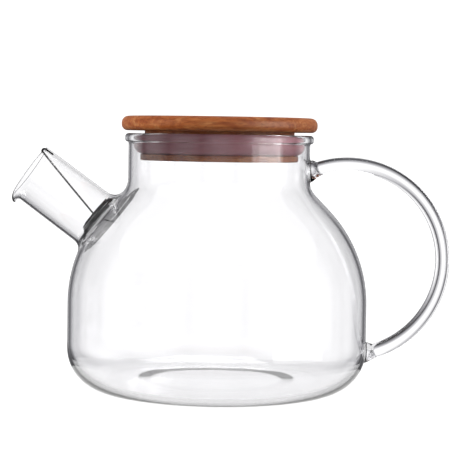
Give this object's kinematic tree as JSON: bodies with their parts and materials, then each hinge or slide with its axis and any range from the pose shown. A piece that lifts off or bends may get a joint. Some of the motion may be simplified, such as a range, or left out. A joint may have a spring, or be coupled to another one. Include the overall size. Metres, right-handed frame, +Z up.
{
  "type": "glass teapot",
  "caption": "Clear glass teapot with a straight spout, a rod handle, a bamboo lid with a silicone seal and a wire strainer in the spout.",
  "frame": {"origin": "on the pot's upright axis, in the plane of the ring that it stands on", "axes": "+Z up along the pot's axis, +X towards the handle, -X towards the spout"},
  "size_m": [0.1937, 0.132, 0.1206],
  "materials": {
    "borosilicate_glass": "clear, fire polished",
    "bamboo": "carbonised bamboo, sanded and lightly oiled",
    "silicone": "soft translucent silicone, mauve grey",
    "steel_wire": "drawn stainless wire"
  },
  "bodies": {
    "pot": {"glass_body": "borosilicate_glass", "glass_spout": "borosilicate_glass", "glass_handle": "borosilicate_glass"},
    "seal": {"silicone_seal": "silicone"},
    "lid": {"lid_top_board": "bamboo", "lid_plug_board": "bamboo"},
    "strainer": {"strainer_coil": "steel_wire", "strainer_tail": "steel_wire"}
  },
  "joints": [
    {"name": "lid_lift", "type": "slide", "parent": "pot", "child": "seal", "axis": [0, 0, 1], "range_m": [0, 0.06]},
    {"name": "lid_turn", "type": "hinge", "parent": "seal", "child": "lid", "pos_m": [0, 0, 0.108], "axis": [0, 0, 1], "continuous": true},
    {"name": "strainer_slide", "type": "slide", "parent": "pot", "child": "strainer", "axis": [0.8171, 0, -0.5764], "range_m": [0, 0.04], "deforming": ["strainer_tail"]}
  ]
}
